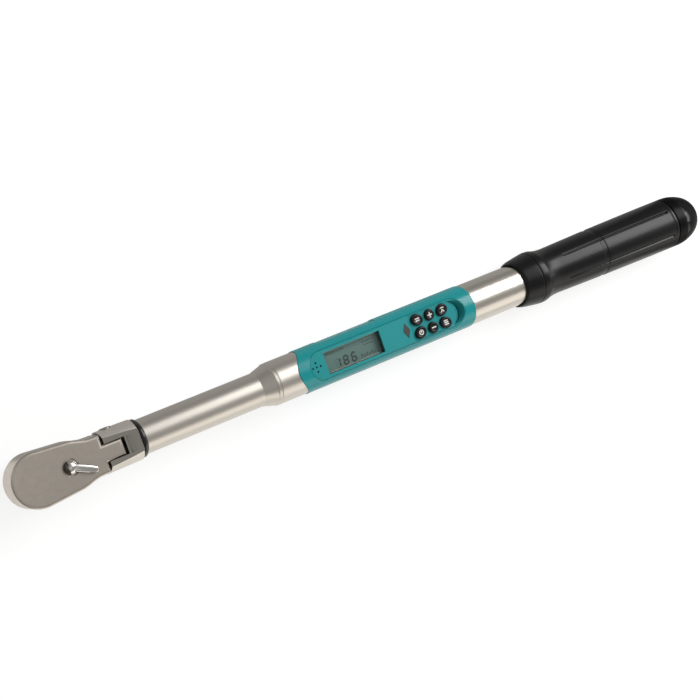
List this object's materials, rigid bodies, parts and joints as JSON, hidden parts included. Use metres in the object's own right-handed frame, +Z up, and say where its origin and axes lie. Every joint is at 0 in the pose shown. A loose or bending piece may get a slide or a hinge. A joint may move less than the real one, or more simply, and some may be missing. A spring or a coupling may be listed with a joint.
{
  "type": "digital torque wrench",
  "caption": "Digital torque wrench: a flexing, reversible ratchet head with square drive on a steel tube, with a display and key housing and a grooved grip that holds the cells.",
  "frame": {"origin": "centre of the square drive's end face", "axes": "+X along the tool from the ratchet head to the grip's cap, +Z up out of the display, away from the fastener"},
  "size_m": [0.67, 0.0454, 0.0518],
  "materials": {
    "satin_nickel": "satin nickel plate",
    "satin_face": "satin nickel plate, bead blasted",
    "chrome": "polished",
    "steel": "machined",
    "spring_steel": "drawn wire",
    "black_rubber": "smooth",
    "teal_plastic": "satin",
    "teal_panel": "fine matte",
    "key_rubber": "satin, printed legend",
    "smoked_plastic": "smoked",
    "clear_window": "clear",
    "lcd": "reflective liquid crystal",
    "bright_frame": "bright",
    "inner_plastic": "moulded",
    "board": "solder mask",
    "gauge_foil": "foil on film",
    "grip_rubber": "satin",
    "cap_plastic": "semi gloss",
    "cell_sleeve": "printed film, bare",
    "contact_brass": "plated"
  },
  "bodies": {
    "handle": {"tube": "satin_nickel", "fork": "satin_nickel", "flex_pin": "steel", "fork_seal_ring": "black_rubber", "torque_beam": "steel", "strain_gauge_1": "gauge_foil", "strain_gauge_2": "gauge_foil", "strain_gauge_3": "gauge_foil", "strain_gauge_4": "gauge_foil", "flex_spring": "spring_steel", "display_housing": "teal_plastic", "display_bezel": "teal_panel", "keypad_mat": "teal_panel", "indicator_window": "smoked_plastic", "display_lens": "clear_window", "lcd_frame": "bright_frame", "lcd_glass": "lcd", "circuit_board": "board", "buzzer": "inner_plastic", "electronics_tray": "inner_plastic", "battery_holder": "inner_plastic", "contact_plate": "contact_brass", "cell_1": "cell_sleeve", "cell_2": "cell_sleeve", "cell_3": "cell_sleeve", "grip_sleeve": "grip_rubber"},
    "head": {"head_housing": "satin_face", "gear_cover": "steel", "retaining_ring": "spring_steel", "lever_ball": "chrome", "lever_ball_spring": "spring_steel"},
    "direction_lever": {"reverse_lever": "chrome"},
    "pawl": {"pawl": "steel"},
    "drive": {"drive_gear": "steel", "drive_ball_spring": "spring_steel"},
    "drive_ball": {"drive_ball": "chrome"},
    "flex_plunger": {"flex_plunger": "steel"},
    "cap_seal": {"cap_seal": "black_rubber"},
    "cap": {"end_cap": "cap_plastic", "contact_spring": "spring_steel"},
    "key_unit": {"key_unit": "key_rubber"},
    "key_plus": {"key_plus": "key_rubber"},
    "key_peak": {"key_peak": "key_rubber"},
    "key_power": {"key_power": "key_rubber"},
    "key_minus": {"key_minus": "key_rubber"},
    "key_mode": {"key_mode": "key_rubber"}
  },
  "joints": [
    {"name": "head_flex", "type": "hinge", "parent": "handle", "child": "head", "pos_m": [0.0635, 0, 0.029], "axis": [0, 1, 0], "range_deg": [-7.5, 7.5]},
    {"name": "drive_turn", "type": "hinge", "parent": "head", "child": "drive", "pos_m": [0, 0, 0.029], "axis": [0, 0, 1], "continuous": true},
    {"name": "lever_swing", "type": "hinge", "parent": "head", "child": "direction_lever", "pos_m": [0.0251, 0, 0.029], "axis": [0, 0, 1], "range_deg": [0, 50.4]},
    {"name": "pawl_rock", "type": "hinge", "parent": "head", "child": "pawl", "pos_m": [0.0251, 0, 0.029], "axis": [0, 0, 1], "range_deg": [0, 6.01]},
    {"name": "drive_ball_press", "type": "slide", "parent": "drive", "child": "drive_ball", "axis": [0, -1, 0], "range_m": [0, 0.0009], "stiffness_N_per_m": 2000, "springref_m": -0.0003},
    {"name": "flex_plunger_press", "type": "slide", "parent": "handle", "child": "flex_plunger", "axis": [1, 0, 0], "range_m": [0, 0.0006], "stiffness_N_per_m": 4000, "springref_m": -0.0005},
    {"name": "cap_slide", "type": "slide", "parent": "handle", "child": "cap_seal", "axis": [1, 0, 0], "range_m": [0, 0.012]},
    {"name": "cap_turn", "type": "hinge", "parent": "cap_seal", "child": "cap", "pos_m": [0.6162, 0, 0.029], "axis": [1, 0, 0], "range_deg": [0, 2160]},
    {"name": "press_unit", "type": "slide", "parent": "handle", "child": "key_unit", "axis": [0, 0, -1], "range_m": [0, 0.001], "stiffness_N_per_m": 1500, "springref_m": -0.0003},
    {"name": "press_plus", "type": "slide", "parent": "handle", "child": "key_plus", "axis": [0, 0, -1], "range_m": [0, 0.001], "stiffness_N_per_m": 1500, "springref_m": -0.0003},
    {"name": "press_peak", "type": "slide", "parent": "handle", "child": "key_peak", "axis": [0, 0, -1], "range_m": [0, 0.001], "stiffness_N_per_m": 1500, "springref_m": -0.0003},
    {"name": "press_power", "type": "slide", "parent": "handle", "child": "key_power", "axis": [0, 0, -1], "range_m": [0, 0.001], "stiffness_N_per_m": 1500, "springref_m": -0.0003},
    {"name": "press_minus", "type": "slide", "parent": "handle", "child": "key_minus", "axis": [0, 0, -1], "range_m": [0, 0.001], "stiffness_N_per_m": 1500, "springref_m": -0.0003},
    {"name": "press_mode", "type": "slide", "parent": "handle", "child": "key_mode", "axis": [0, 0, -1], "range_m": [0, 0.001], "stiffness_N_per_m": 1500, "springref_m": -0.0003}
  ],
  "couplings": [
    {"joint": "pawl_rock", "follows": "lever_swing", "ratio": 0.119},
    {"joint": "cap_slide", "follows": "cap_turn", "m_per_rad": 0.000318}
  ]
}
